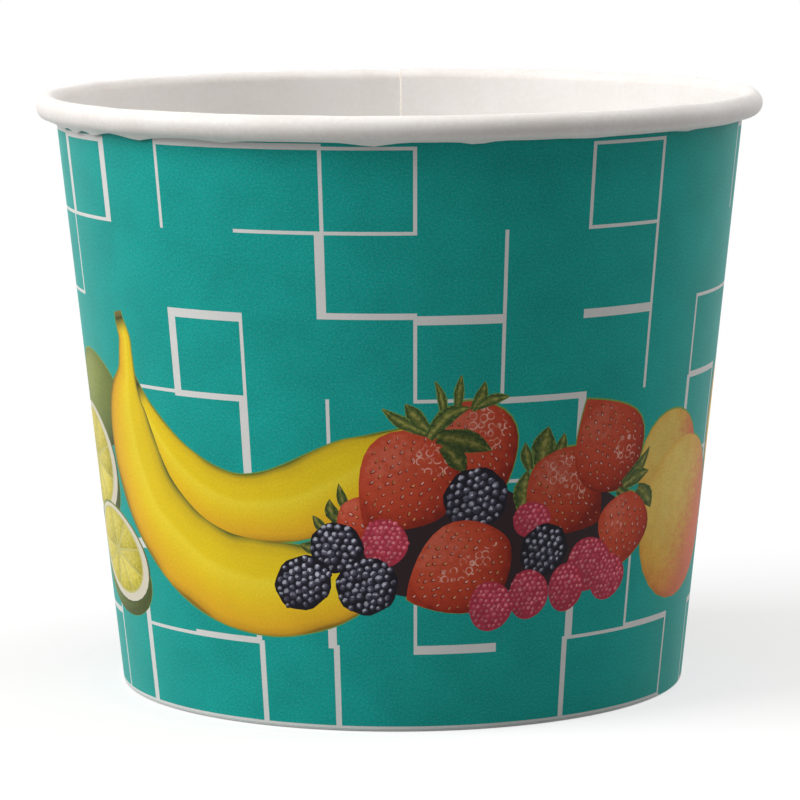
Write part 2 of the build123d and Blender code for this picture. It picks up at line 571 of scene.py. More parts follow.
def teal_paint(graph):
    """The ground colour, with faint clouds where the ink lies thicker, and specks of board between."""
    clouds = rough_noise(graph, 0.09, 0.0, 1.0, detail=3.0)
    ground = ramp(graph, clouds, stops((0.0, (5, 157, 148)), (1.0, (9, 165, 156))))
    specks = rough_noise(graph, 4.4, -0.02, 0.035)
    return blend(graph, graph.math("MAXIMUM", specks, 0.0), ground, colour(226, 226, 223))


print("a strawberry is painted from", [round(value, 3) for value in colour(126, 38, 27)[:3]], "to",
      [round(value, 3) for value in colour(214, 102, 78)[:3]])

# %% Mix the inks
paints = {
    "teal_ground": (teal_paint, 0.13),
    "white_line": (plain(226, 226, 223), 0.03),
    "fruit_edge": (plain(116, 160, 78), 0.08),
    "banana_skin": (banana_paint, 0.06),
    "strawberry_flesh": (strawberry_paint, 0.10),
    "strawberry_gloss": (glossy_strawberry_paint, 0.10),
    "strawberry_pit": (plain(134, 36, 26), 0.08),
    "strawberry_seed": (plain(226, 156, 104), 0.10),
    "strawberry_glint": (plain(238, 182, 166), 0.10),
    "leaf_green": (leaf_paint, 0.12),
    "berry_shade": (plain(44, 30, 33), 0.12),
    "bramble_gap": (plain(20, 18, 27), 0.10),
    "bramble_bead": (ball_paint([
        (0.0, (24, 21, 30)), (0.45, (44, 42, 54)), (0.75, (76, 74, 90)), (0.92, (126, 126, 143)),
        (1.0, (190, 191, 205))], mottle=0.24), 0.12),
    "bramble_glint": (plain(206, 208, 220), 0.12),
    "raspberry_glint": (plain(238, 172, 180), 0.12),
    "raspberry_gap": (plain(182, 56, 76), 0.10),
    "raspberry_bead": (ball_paint([
        (0.0, (180, 58, 78)), (0.5, (199, 69, 90)), (0.85, (214, 86, 104)), (1.0, (234, 138, 150))],
        mottle=0.30), 0.14),
    "lime_skin": (ball_paint([
        (0.0, (68, 80, 32)), (0.4, (96, 110, 46)), (0.8, (120, 132, 58)), (1.0, (142, 152, 74))]), 0.12),
    "lime_pith": (plain(224, 216, 196), 0.04),
    "lime_core": (plain(204, 196, 116), 0.08),
    "lime_flesh": (ball_paint([
        (0.0, (178, 164, 52)), (0.5, (206, 191, 70)), (1.0, (226, 211, 102))], mottle=0.3), 0.12),
    "peach_skin": (peach_paint, 0.10),
}
inks = {name: satin_finish(name, paint, grain) for name, (paint, grain) in paints.items()}
print(len(inks), "inks:", ", ".join(inks))

# %% [markdown]
# ## Laying the print down
#
# The art is a list of flat faces, in millimetres: x runs across the blank from the middle of the front,
# and y is the height above the table. What is laid later covers what is below it, as in a collage.
# Each face also keeps the map from the print to its own shape, which its ink reads.

# %% Define how art is laid
art = []
smallest_face = 0.0005


def box_map(points):
    """The map that carries a shape's own box to -1 to 1, as ((across, shift), (up, shift))."""
    across = [point[0] for point in points]
    up = [point[1] for point in points]
    maps = []
    for values in (across, up):
        middle = (max(values) + min(values)) / 2
        reach = max((max(values) - min(values)) / 2, 1e-6)
        maps.append((1 / reach, -middle / reach))
    return ((maps[0][0], 0.0, maps[0][1]), (0.0, maps[1][0], maps[1][1]))


def corner_map(points, values):
    """The map that gives three corners these values."""
    corners = np.array([[x, y, 1.0] for x, y in points])
    return tuple(tuple(row) for row in np.linalg.solve(corners, np.array(values)).T)


def signed_area(points):
    """The area inside an outline, which is negative where the outline runs with the clock."""
    pairs = zip(points, points[1:] + points[:1])
    return sum(x0 * y1 - x1 * y0 for (x0, y0), (x1, y1) in pairs) / 2


def lay(points, ink, tint=1.0, shape=None):
    """Lays one face of an ink, with its corners against the clock. Slivers are left out."""
    points = [(float(x), float(y)) for x, y in points]
    area = signed_area(points)
    if abs(area) > smallest_face:
        ordered = points if area > 0 else points[::-1]
        art.append({"points": ordered, "ink": ink, "tint": tint, "map": shape or box_map(points)})


def smooth_through(values, steps):
    """A smooth run through a few rows of numbers, with this many steps between neighbours."""
    rows = np.array(values, dtype=float)
    rows = np.vstack([2 * rows[0] - rows[1], rows, 2 * rows[-1] - rows[-2]])
    smooth = []
    for first in range(1, len(rows) - 2):
        before, start, end, after = rows[first - 1:first + 3]
        for step in range(steps):
            t = step / steps
            smooth.append(0.5 * (2 * start + (end - before) * t
                                 + (2 * before - 5 * start + 4 * end - after) * t ** 2
                                 + (3 * start - before - 3 * end + after) * t ** 3))
    smooth.append(rows[-2])
    return np.array(smooth)


def band_net(spine, steps, lanes, wider=0.0):
    """Rows of points along a band. Spine rows are x, y and half the width there."""
    rows = smooth_through(spine, steps)
    heading = np.gradient(rows[:, :2], axis=0)
    heading /= np.linalg.norm(heading, axis=1)[:, None]
    side = np.stack([-heading[:, 1], heading[:, 0]], axis=1)
    shares = np.linspace(-1, 1, lanes + 1)
    return rows[:, None, :2] + side[:, None, :] * shares[None, :, None] * (rows[:, None, 2:] + wider)


def lay_band(spine, ink, steps=4, fringe=0.14, tint=1.0):
    """Lays a band on its thin edge, with a map that runs 0 to 1 along it and -1 to 1 across."""
    edge = band_net(spine, steps, 1, fringe)
    lay([tuple(point) for point in edge[:, 0]] + [tuple(point) for point in edge[::-1, 1]], "fruit_edge")
    lanes = 2
    net = band_net(spine, steps, lanes)
    last = len(net) - 1
    for i in range(last):
        for j in range(lanes):
            ids = [(i, j), (i + 1, j), (i + 1, j + 1), (i, j + 1)]
            for trio in (ids[:3], [ids[0], ids[2], ids[3]]):
                points = [tuple(net[a, b]) for a, b in trio]
                if abs(signed_area(points)) > smallest_face:
                    values = [(a / last, b * 2 / lanes - 1) for a, b in trio]
                    lay(points, ink, tint, corner_map(points, values))


print("collage tools ready")

# %% [markdown]
# ## The broken grid
#
# White lines cross the ground in squares of about ten millimetres. Many of them are left out, and they
# come in three widths that join with a small step. That is a rule, so Geometry Nodes draw it: a grid
# whose edges are thinned out by chance, with a rectangle laid on each edge that stays. A line is 0, 1
# or 2 steps wider than the thinnest one, and wide lines are rarer.

# %% Build the tree of the broken grid
grid, given, result = geometry_tree("Broken grid", {
    "Columns": "Int", "Rows": "Int", "Column Pitch": "Float", "Row Pitch": "Float",
    "Upright Share": "Float", "Level Share": "Float", "Thin Line": "Float", "Width Step": "Float",
    "Ink": "Material", "Seed": "Int"})
no_width = 0.001
just_under_three = 2.999
net = grid.add("GeometryNodeMeshGrid", {
    "Size X": grid.math("MULTIPLY", given["Columns"], given["Column Pitch"]),
    "Size Y": grid.math("MULTIPLY", given["Rows"], given["Row Pitch"]),
    "Vertices X": grid.math("ADD", given["Columns"], 1.0),
    "Vertices Y": grid.math("ADD", given["Rows"], 1.0)})
edges = grid.add("GeometryNodeDeleteGeometry", {"Geometry": net.outputs["Mesh"]},
                 domain="FACE", mode="ONLY_FACE")
ends = grid.add("GeometryNodeInputMeshEdgeVertices")
span = grid.add("ShaderNodeVectorMath", {0: ends.outputs["Position 1"], 1: ends.outputs["Position 2"]},
                operation="SUBTRACT")
sides = grid.add("ShaderNodeSeparateXYZ", {0: span.outputs[0]})
upright = grid.math("LESS_THAN", grid.math("ABSOLUTE", sides.outputs[0]), no_width)
marked = grid.add("GeometryNodeStoreNamedAttribute", {
    "Geometry": edges.outputs[0], "Name": "upright", "Value": upright}, data_type="FLOAT", domain="EDGE")
stands = grid.add("GeometryNodeInputNamedAttribute", {"Name": "upright"}, data_type="FLOAT").outputs[0]
lies = grid.math("SUBTRACT", 1.0, stands)
share = grid.math("ADD", grid.math("MULTIPLY", given["Upright Share"], stands),
                  grid.math("MULTIPLY", given["Level Share"], lies))
left_out = grid.math("GREATER_THAN", grid.draw(given["Seed"], 0.0), share)
kept = grid.add("GeometryNodeDeleteGeometry", {"Geometry": marked.outputs[0], "Selection": left_out},
                domain="EDGE", mode="EDGE_FACE")
points = grid.add("GeometryNodeMeshToPoints", {"Mesh": kept.outputs[0]}, mode="EDGES")
chance = grid.draw(given["Seed"], 7.0)
rarely_high = grid.math("MULTIPLY", chance, chance)
steps_wider = grid.math("FLOOR", grid.math("MULTIPLY", rarely_high, just_under_three))
extra = grid.math("MULTIPLY", steps_wider, given["Width Step"])
width = grid.math("ADD", given["Thin Line"], extra)
which_side = grid.math("ROUND", grid.draw(given["Seed"], 3.0))
side = grid.math("SUBTRACT", grid.math("MULTIPLY", which_side, 2.0), 1.0)
step_aside = grid.math("MULTIPLY", grid.math("MULTIPLY", extra, 0.5), side)
offset = grid.vector(grid.math("MULTIPLY", step_aside, stands), grid.math("MULTIPLY", step_aside, lies), 0.0)
shifted = grid.add("GeometryNodeSetPosition", {"Geometry": points.outputs[0], "Offset": offset})
length = grid.math("ADD", grid.math("MULTIPLY", given["Column Pitch"], lies),
                   grid.math("MULTIPLY", given["Row Pitch"], stands))
long_side = grid.math("ADD", length, given["Thin Line"])
bar = grid.add("GeometryNodeMeshGrid", {"Size X": 1.0, "Size Y": 1.0, "Vertices X": 2, "Vertices Y": 2})
bars = grid.add("GeometryNodeInstanceOnPoints", {
    "Points": shifted.outputs[0], "Instance": bar.outputs["Mesh"],
    "Rotation": grid.vector(0.0, 0.0, grid.math("MULTIPLY", stands, math.pi / 2)),
    "Scale": grid.vector(long_side, width, 1.0)})
whole = grid.add("GeometryNodeRealizeInstances", {"Geometry": bars.outputs[0]})
inked = grid.add("GeometryNodeSetMaterial", {"Geometry": whole.outputs[0], "Material": given["Ink"]})
grid.tree.links.new(inked.outputs[0], result.inputs["Geometry"])
print("grid tree:", len(grid.tree.nodes), "nodes")

# %% [markdown]
# The art stays clear of the blank's cut edges and of the fold by a hair. Twenty-four columns of squares
# go round the cup, with two more laid for the lap, and the rows start at the foot.

# %% Draw the grid
print_height = 32.0
print_radius = foot_radius + print_height * math.tan(wall_lean)
mid_radius = foot_radius + cup_height / 2 * math.tan(wall_lean)
lap_angle = lap_width / mid_radius
run_angle = math.acos(mid_radius / (mid_radius + board))
blank_left = -(math.pi + lap_angle) * print_radius
blank_right = math.pi * print_radius
lowest_print = fold_outer[-1].y
highest_print = wall_top.y
clear_margin = 0.15
foot_margin = 0.03
grid_columns = 24
laid_columns = grid_columns + 2
column_pitch = math.tau * print_radius / grid_columns
row_pitch = 10.55
grid_rows = 7
first_row = 0.5
line_near_middle = 1.8
lines_left_of_it = 13
first_column = line_near_middle - lines_left_of_it * column_pitch
shortest_line = 0.3


def keep_inside(points):
    """Points moved back from the blank's cut edges where they would pass them."""
    return [(min(max(x, blank_left + clear_margin), blank_right - clear_margin),
             min(max(y, lowest_print + foot_margin), highest_print - clear_margin)) for x, y in points]


line_mesh = grown("broken_grid", grid.tree, {
    "Columns": laid_columns, "Rows": grid_rows, "Column Pitch": column_pitch, "Row Pitch": row_pitch,
    "Upright Share": 0.5, "Level Share": 0.55, "Thin Line": 0.45, "Width Step": 0.35,
    "Ink": inks["white_line"], "Seed": 1330})
grid_middle = (first_column + laid_columns * column_pitch / 2, first_row + grid_rows * row_pitch / 2)
for face in line_mesh.polygons:
    corners = [line_mesh.vertices[index].co for index in face.vertices]
    points = keep_inside([(corner.x + grid_middle[0], corner.y + grid_middle[1]) for corner in corners])
    wide = max(x for x, y in points) - min(x for x, y in points)
    if wide > shortest_line:
        lay(points, "white_line")
bpy.data.meshes.remove(line_mesh)
print(len(art), "lines of the grid; column pitch", round(column_pitch, 2), "mm")

# %% [markdown]
# ## Rows of marks
#
# A strawberry's seeds and a blackberry's beads stand in staggered rows that fill the fruit's outline.
# One tree lays such rows on any outline. It makes a staggered grid over the outline's box, keeps the
# points that a ray finds inside, and sets a small disc on each. Marks near the rim are smaller,
# because there the fruit's round side turns away.

# %% Build the tree of rows of marks
marks, given, result = geometry_tree("Rows of marks", {
    "Pitch": "Float", "Margin": "Float", "Rim Band": "Float", "Rim Size": "Float", "Mark Width": "Float",
    "Mark Height": "Float", "Size Spread": "Float", "Turn Spread": "Float", "Jitter": "Float",
    "Mark Sides": "Int", "Ink": "Material", "Seed": "Int"})
outline = given["Geometry"]
pitch = given["Pitch"]
box = marks.add("GeometryNodeBoundBox", {"Geometry": outline})
low = marks.add("ShaderNodeSeparateXYZ", {0: box.outputs["Min"]})
high = marks.add("ShaderNodeSeparateXYZ", {0: box.outputs["Max"]})
stagger = math.sqrt(3) / 2
row_step = marks.math("MULTIPLY", pitch, stagger)
counts = []
reaches = []
for axis, step in ((0, pitch), (1, row_step)):
    wide = marks.math("SUBTRACT", high.outputs[axis], low.outputs[axis])
    count = marks.math("ADD", marks.math("CEIL", marks.math("DIVIDE", wide, step)), 2.0)
    counts.append(count)
    reaches.append(marks.math("MULTIPLY", marks.math("SUBTRACT", count, 1.0), step))
rows = marks.add("GeometryNodeMeshGrid", {"Size X": reaches[0], "Size Y": reaches[1],
                                          "Vertices X": counts[0], "Vertices Y": counts[1]})
spot = marks.add("ShaderNodeSeparateXYZ", {0: marks.add("GeometryNodeInputPosition").outputs[0]})
from_foot = marks.math("ADD", spot.outputs[1], marks.math("MULTIPLY", reaches[1], 0.5))
row_number = marks.math("ROUND", marks.math("DIVIDE", from_foot, row_step))
odd = marks.math("MODULO", row_number, 2.0)
shift = marks.math("MULTIPLY", marks.math("SUBTRACT", odd, 0.5), marks.math("MULTIPLY", pitch, 0.5))
middle_x = marks.math("MULTIPLY", marks.math("ADD", low.outputs[0], high.outputs[0]), 0.5)
middle_y = marks.math("MULTIPLY", marks.math("ADD", low.outputs[1], high.outputs[1]), 0.5)
jitter = given["Jitter"]
back = marks.math("MULTIPLY", jitter, -1.0)
stray = marks.add("FunctionNodeRandomValue", {
    0: marks.vector(back, back, 0.0), 1: marks.vector(jitter, jitter, 0.0),
    "Seed": given["Seed"]}, data_type="FLOAT_VECTOR")
centred = marks.vector(marks.math("ADD", shift, middle_x), middle_y, 0.0)
moves = marks.add("ShaderNodeVectorMath", {0: stray.outputs[0], 1: centred}, operation="ADD")
staggered = marks.add("GeometryNodeSetPosition", {"Geometry": rows.outputs["Mesh"],
                                                  "Offset": moves.outputs[0]})
here = marks.add("GeometryNodeInputPosition").outputs[0]
above = marks.add("ShaderNodeVectorMath", {0: here, 1: (0.0, 0.0, 1.0)}, operation="ADD")
ray = marks.add("GeometryNodeRaycast", {"Target Geometry": outline, "Source Position": above.outputs[0],
                                        "Ray Direction": (0.0, 0.0, -1.0), "Ray Length": 2.0})
rim = marks.add("GeometryNodeProximity", {"Geometry": outline}, target_element="EDGES")
to_rim = rim.outputs["Distance"]
clear = marks.math("GREATER_THAN", to_rim, given["Margin"])
outside = marks.math("SUBTRACT", 1.0, marks.math("MULTIPLY", ray.outputs["Is Hit"], clear))
inside = marks.add("GeometryNodeDeleteGeometry", {"Geometry": staggered.outputs[0], "Selection": outside})
smaller = marks.remap(to_rim, 0.0, given["Rim Band"], given["Rim Size"], 1.0)
least = marks.math("SUBTRACT", 1.0, given["Size Spread"])
most = marks.math("ADD", 1.0, given["Size Spread"])
size = marks.math("MULTIPLY", smaller, marks.draw(given["Seed"], 1.0, least, most))
turn_back = marks.math("MULTIPLY", given["Turn Spread"], -1.0)
turn = marks.draw(given["Seed"], 2.0, turn_back, given["Turn Spread"])
disc = marks.add("GeometryNodeMeshCircle", {"Vertices": given["Mark Sides"], "Radius": 1.0},
                 fill_type="NGON")
discs = marks.add("GeometryNodeInstanceOnPoints", {
    "Points": inside.outputs[0], "Instance": disc.outputs["Mesh"], "Rotation": marks.vector(0.0, 0.0, turn),
    "Scale": marks.vector(marks.math("MULTIPLY", size, given["Mark Width"]),
                          marks.math("MULTIPLY", size, given["Mark Height"]), 1.0)})
whole = marks.add("GeometryNodeRealizeInstances", {"Geometry": discs.outputs[0]})
inked = marks.add("GeometryNodeSetMaterial", {"Geometry": whole.outputs[0], "Material": given["Ink"]})
marks.tree.links.new(inked.outputs[0], result.inputs["Geometry"])
print("tree of marks:", len(marks.tree.nodes), "nodes")

# %% [markdown]
# ## Shapes of fruit
#
# Each fruit starts as an outline about its own middle. An oval with shallow lumps serves for berries,
# limes and peaches, and a strawberry has a pointed tip and broad shoulders. Outlines are then turned
# and moved to their place. A thin yellow-green edge shows round the fruit, as in a cut-out picture.

# %% Define outlines and how they are placed
def oval(width, height, corners=26, lumps=0, depth=0.0):
    """An oval about its middle, whose radius may swell in shallow lumps."""
    points = []
    for corner_number in range(corners):
        angle = math.tau * corner_number / corners
        swell = 1 + depth * math.cos(lumps * angle)
        points.append((width / 2 * swell * math.cos(angle), height / 2 * swell * math.sin(angle)))
    return points


def strawberry_outline(width, length, taper=0.62, steps=15):
    """A strawberry about its middle, tip down. A small taper gives a blunt tip, and 1 a sharp one."""
    high_shoulders = 1.25
    rises = [(1 - math.cos(math.pi * step / steps)) / 2 for step in range(steps + 1)]
    right = []
    for rise in rises:
        half = width / 2 * abs(math.sin(math.pi * rise ** high_shoulders)) ** taper
        right.append((half, (rise - 0.5) * length))
    left = [(-x, y) for x, y in right[-2:0:-1]]
    return right + left


def placed(points, place, turn=0.0, scale=1.0):
    """Points turned by an angle in degrees, scaled and moved to a place."""
    angle = math.radians(turn)
    level = math.cos(angle) * scale
    upright = math.sin(angle) * scale
    return [(place[0] + level * x - upright * y, place[1] + upright * x + level * y) for x, y in points]


def grow_about(points, factor, lift=0.0):
    """Points scaled about their middle, and lifted a little."""
    middle = np.mean(np.array(points), axis=0)
    return [(middle[0] + (x - middle[0]) * factor, middle[1] + (y - middle[1]) * factor + lift)
            for x, y in points]


def lay_cut_out(points, ink, fringe=0.16, tint=1.0):
    """Lays a shape on its thin yellow-green edge."""
    reach = max(x for x, y in points) - min(x for x, y in points)
    lay(grow_about(points, 1 + 2 * fringe / reach, fringe * 0.5), "fruit_edge")
    lay(points, ink, tint)


def rows_on(points, ink, seed, pitch, size, **changes):
    """The corners of each mark that the tree lays on an outline."""
    start = bpy.data.meshes.new("outline")
    start.from_pydata([(x, y, 0.0) for x, y in points], [], [list(range(len(points)))])
    values = {"Pitch": pitch, "Margin": 0.4, "Rim Band": 2.0, "Rim Size": 0.75, "Mark Width": size[0],
              "Mark Height": size[1], "Size Spread": 0.1, "Turn Spread": 0.3, "Jitter": 0.1 * pitch,
              "Mark Sides": 7, "Ink": inks[ink], "Seed": seed}
    values.update(changes)
    mesh = grown("marks", marks.tree, values, start)
    found = [[tuple(mesh.vertices[index].co.xy) for index in face.vertices] for face in mesh.polygons]
    bpy.data.meshes.remove(mesh)
    bpy.data.meshes.remove(start)
    return found


print("a strawberry outline has", len(strawberry_outline(12, 14)), "corners")

# %% [markdown]
# A blackberry or a raspberry is a dark oval that is packed with beads. Each bead is lit by its own map,
# from the upper left. Beads at the berry's lower left are darker than those at its upper right, which
# makes the whole berry look round. Beads on its bright side often have a small glint too.

# %% Define beaded berries
bead_width = 0.55
bead_height = 0.53
light_from_right = 0.5
light_from_above = 0.8
darkest_bead = 0.62
gain_by_light = 0.55
bead_variety = (0.86, 1.14)


def beaded_berry(place, width, height, turn, kind, seed, pitch, lumps=7):
    """Lays a berry of beads. The kind is bramble, which is a blackberry, or raspberry."""
    chance = random.Random(seed)
    glint_share, glint_fall = (1.0, 1) if kind == "bramble" else (0.75, 2)
    shape = oval(width, height, lumps=lumps, depth=0.03)
    lay(placed(shape, place, turn, 0.95), kind + "_gap")
    beads = rows_on(shape, kind + "_bead", seed, pitch, (pitch * bead_width, pitch * bead_height),
                    **{"Margin": pitch * 0.35, "Jitter": pitch * 0.17, "Size Spread": 0.16})
    for bead in beads:
        middle = np.mean(np.array(placed(bead, (0.0, 0.0), turn)), axis=0)
        lit = 0.5 + light_from_right * middle[0] / width + light_from_above * middle[1] / height
        tint = (darkest_bead + gain_by_light * min(max(lit, 0.0), 1.0)) * chance.uniform(*bead_variety)
        lay(placed(bead, place, turn), kind + "_bead", tint)
        if chance.random() < glint_share * min(max(lit, 0.2), 1.0) ** glint_fall:
            spot = (place[0] + middle[0] - 0.12 * pitch, place[1] + middle[1] + 0.14 * pitch)
            glint = oval(pitch * chance.uniform(0.2, 0.42), pitch * chance.uniform(0.16, 0.3), corners=5)
            lay(placed(glint, spot, chance.uniform(0, 90)), kind + "_glint", min(tint, 1.0))


# %% [markdown]
# A strawberry's seeds lie in small pits. On a photograph only some of them catch the light, as short
# bright flecks. Where the flesh is glossy, its ink has a ring of light round each pit instead.

# %% Define strawberries
pit_pitch = 1.25
pit_size = (0.2, 0.34)
glinting_share = 0.72
glint_width = 0.5
seed_width = 0.62
fleck_height = 0.72
fleck_lift = 0.1
pit_variety = (0.9, 1.25)
fleck_variety = (0.62, 1.0)


def strawberry(place, width, length, turn, seed, gloss=None, tint=1.0, taper=0.62):
    """Lays a strawberry. Its gloss is (across, up, half width, half height) of the patch with rings."""
    chance = random.Random(seed)
    shape = strawberry_outline(width, length, taper)
    body = placed(shape, place, turn)
    own_map = box_map(body)
    lay_cut_out(body, "strawberry_flesh", tint=tint)
    if gloss:
        across, up, half_width, half_height = gloss
        patch = placed(oval(2 * half_width, 2 * half_height, corners=15, lumps=3, depth=0.12), (across, up))
        lay(placed(patch, place, turn), "strawberry_gloss", tint, own_map)
    pits = rows_on(shape, "strawberry_pit", seed, pit_pitch, pit_size, **{
        "Mark Sides": 5, "Margin": 0.45, "Rim Size": 0.8, "Jitter": 0.3, "Turn Spread": 0.6,
        "Size Spread": 0.25})
    for pit in pits:
        x, y = np.mean(np.array(pit), axis=0)
        glossy = gloss and ((x - gloss[0]) / gloss[2]) ** 2 + ((y - gloss[1]) / gloss[3]) ** 2 < 1
        if not glossy:
            lay(placed(pit, place, turn), "strawberry_pit", tint * chance.uniform(*pit_variety))
            glinting = chance.random() < glinting_share
            fleck_width = glint_width if glinting else seed_width
            fleck_ink = "strawberry_glint" if glinting else "strawberry_seed"
            fleck = [(x + (corner_x - x) * fleck_width, y + fleck_lift + (corner_y - y) * fleck_height)
                     for corner_x, corner_y in pit]
            fleck_tint = tint * chance.uniform(*fleck_variety)
            lay(placed(fleck, place, turn), fleck_ink, fleck_tint)


# %% [markdown]
# Leaves and bananas are bands, with a map that follows their length. A leaf is a short one that ends in
# a point. Half a lime shows its cut face, which is a ring of wedges on the pith.

# %% Define leaves, limes and peaches
skin_size = 1.02
pith_size = 0.975
core_size = 0.86
flesh_size = 0.82
flesh_start = 0.08
wedge_width = 0.94
skin_shift = (0.25, -1.7)
core_shift = (-0.3, 0.25)


def leaf(base, tip, half_width, bow=0.0, tint=1.0):
    """Lays a pointed leaf from its base to its tip, bowed to one side."""
    base, tip = np.array(base), np.array(tip)
    along = tip - base
    side = np.array([-along[1], along[0]]) / np.linalg.norm(along)
    middle = base + along * 0.5 + side * bow
    near = base + along * 0.78 + side * bow * 0.7
    spine = [(*base, half_width * 0.55), (*middle, half_width), (*near, half_width * 0.62), (*tip, 0.04)]
    lay_band(spine, "leaf_green", steps=2, fringe=0.08, tint=tint)


def lime_half(place, width, height, turn, tint=1.0):
    """Lays half a lime: its skin, the white pith and a ring of wedges of flesh."""
    face = oval(width, height, corners=30)
    skin_place = (place[0] + skin_shift[0], place[1] + skin_shift[1])
    core_place = (place[0] + core_shift[0], place[1] + core_shift[1])
    lay_cut_out(placed(face, skin_place, turn), "lime_skin", tint=tint)
    lay(placed(face, place, turn, skin_size), "lime_skin", tint * 1.15)
    lay(placed(face, place, turn, pith_size), "lime_pith", tint)
    lay(placed(face, core_place, turn, core_size), "lime_core", tint)
    wedges = 9
    for wedge in range(wedges):
        middle = math.tau * (wedge + 0.3) / wedges
        spread = math.pi / wedges * wedge_width
        arc = [middle + spread * share for share in (-1, -0.6, -0.2, 0.2, 0.6, 1)]
        ring = [(flesh_start * math.cos(middle), flesh_start * math.sin(middle))]
        ring += [(flesh_size * math.cos(angle), flesh_size * math.sin(angle)) for angle in arc]
        flesh = [(x * width / 2, y * height / 2) for x, y in ring]
        lay(placed(flesh, core_place, turn), "lime_flesh", tint * (0.95 + 0.02 * wedge))


def lay_limes(shift):
    """Lays the whole lime and the two halves."""
    lay_cut_out(placed(oval(18.0, 12.0), (shift - 51.0, 39.6), -14), "lime_skin")
    lime_half((shift - 56.4, 30.6), 20.0, 15.5, -8, tint=0.97)
    lime_half((shift - 49.4, 19.2), 19.5, 12.2, -14)


def lay_peaches(shift):
    """Lays the two peaches, the small one first."""
    small = oval(15.0, 15.0, lumps=3, depth=0.02)
    large = oval(23.0, 21.5, lumps=3, depth=0.03)
    lay_cut_out(placed(small, (shift + 41.6, 31.4), 10), "peach_skin", tint=0.93)
    lay_cut_out(placed(large, (shift + 46.7, 24.0), -8), "peach_skin")


def lay_bananas(shift):
    """Lays the two bananas, the upper one first. Spine rows: x, y and half the width."""
    upper = [(-39.4, 44.0, 0.9), (-37.9, 41.0, 1.5), (-35.8, 37.6, 2.5), (-32.0, 33.0, 3.7),
             (-27.2, 29.9, 4.2), (-22.4, 28.5, 4.3), (-18.0, 28.6, 4.5), (-13.6, 29.6, 4.9),
             (-8.6, 31.6, 5.2), (-4.6, 34.0, 4.6), (-1.6, 36.3, 2.9), (0.6, 38.0, 1.6), (1.8, 39.2, 0.9)]
    lower = [(-40.9, 52.0, 0.8), (-40.6, 50.6, 1.0), (-39.9, 48.6, 1.3), (-40.0, 46.9, 1.5),
             (-40.3, 43.9, 2.1), (-41.2, 40.2, 4.3), (-41.0, 35.5, 5.6), (-39.6, 31.0, 6.0),
             (-36.6, 26.5, 6.0), (-31.2, 21.9, 6.0), (-25.2, 19.2, 6.1), (-19.0, 18.2, 6.2),
             (-14.0, 18.3, 5.9), (-8.6, 18.9, 4.8), (-3.2, 20.2, 2.6), (0.0, 21.3, 0.8)]
    for spine in (upper, lower):
        lay_band([(x + shift, y, half) for x, y, half in spine], "banana_skin")


# %% [markdown]
# The berries lie in a heap with dark gaps between them, so a dark field goes down first. Then come the
# fruits from the back of the heap to its front, each with its leaves.

# %% Define the heap of berries
raspberry_pitch = 0.74
bramble_pitch = 1.0


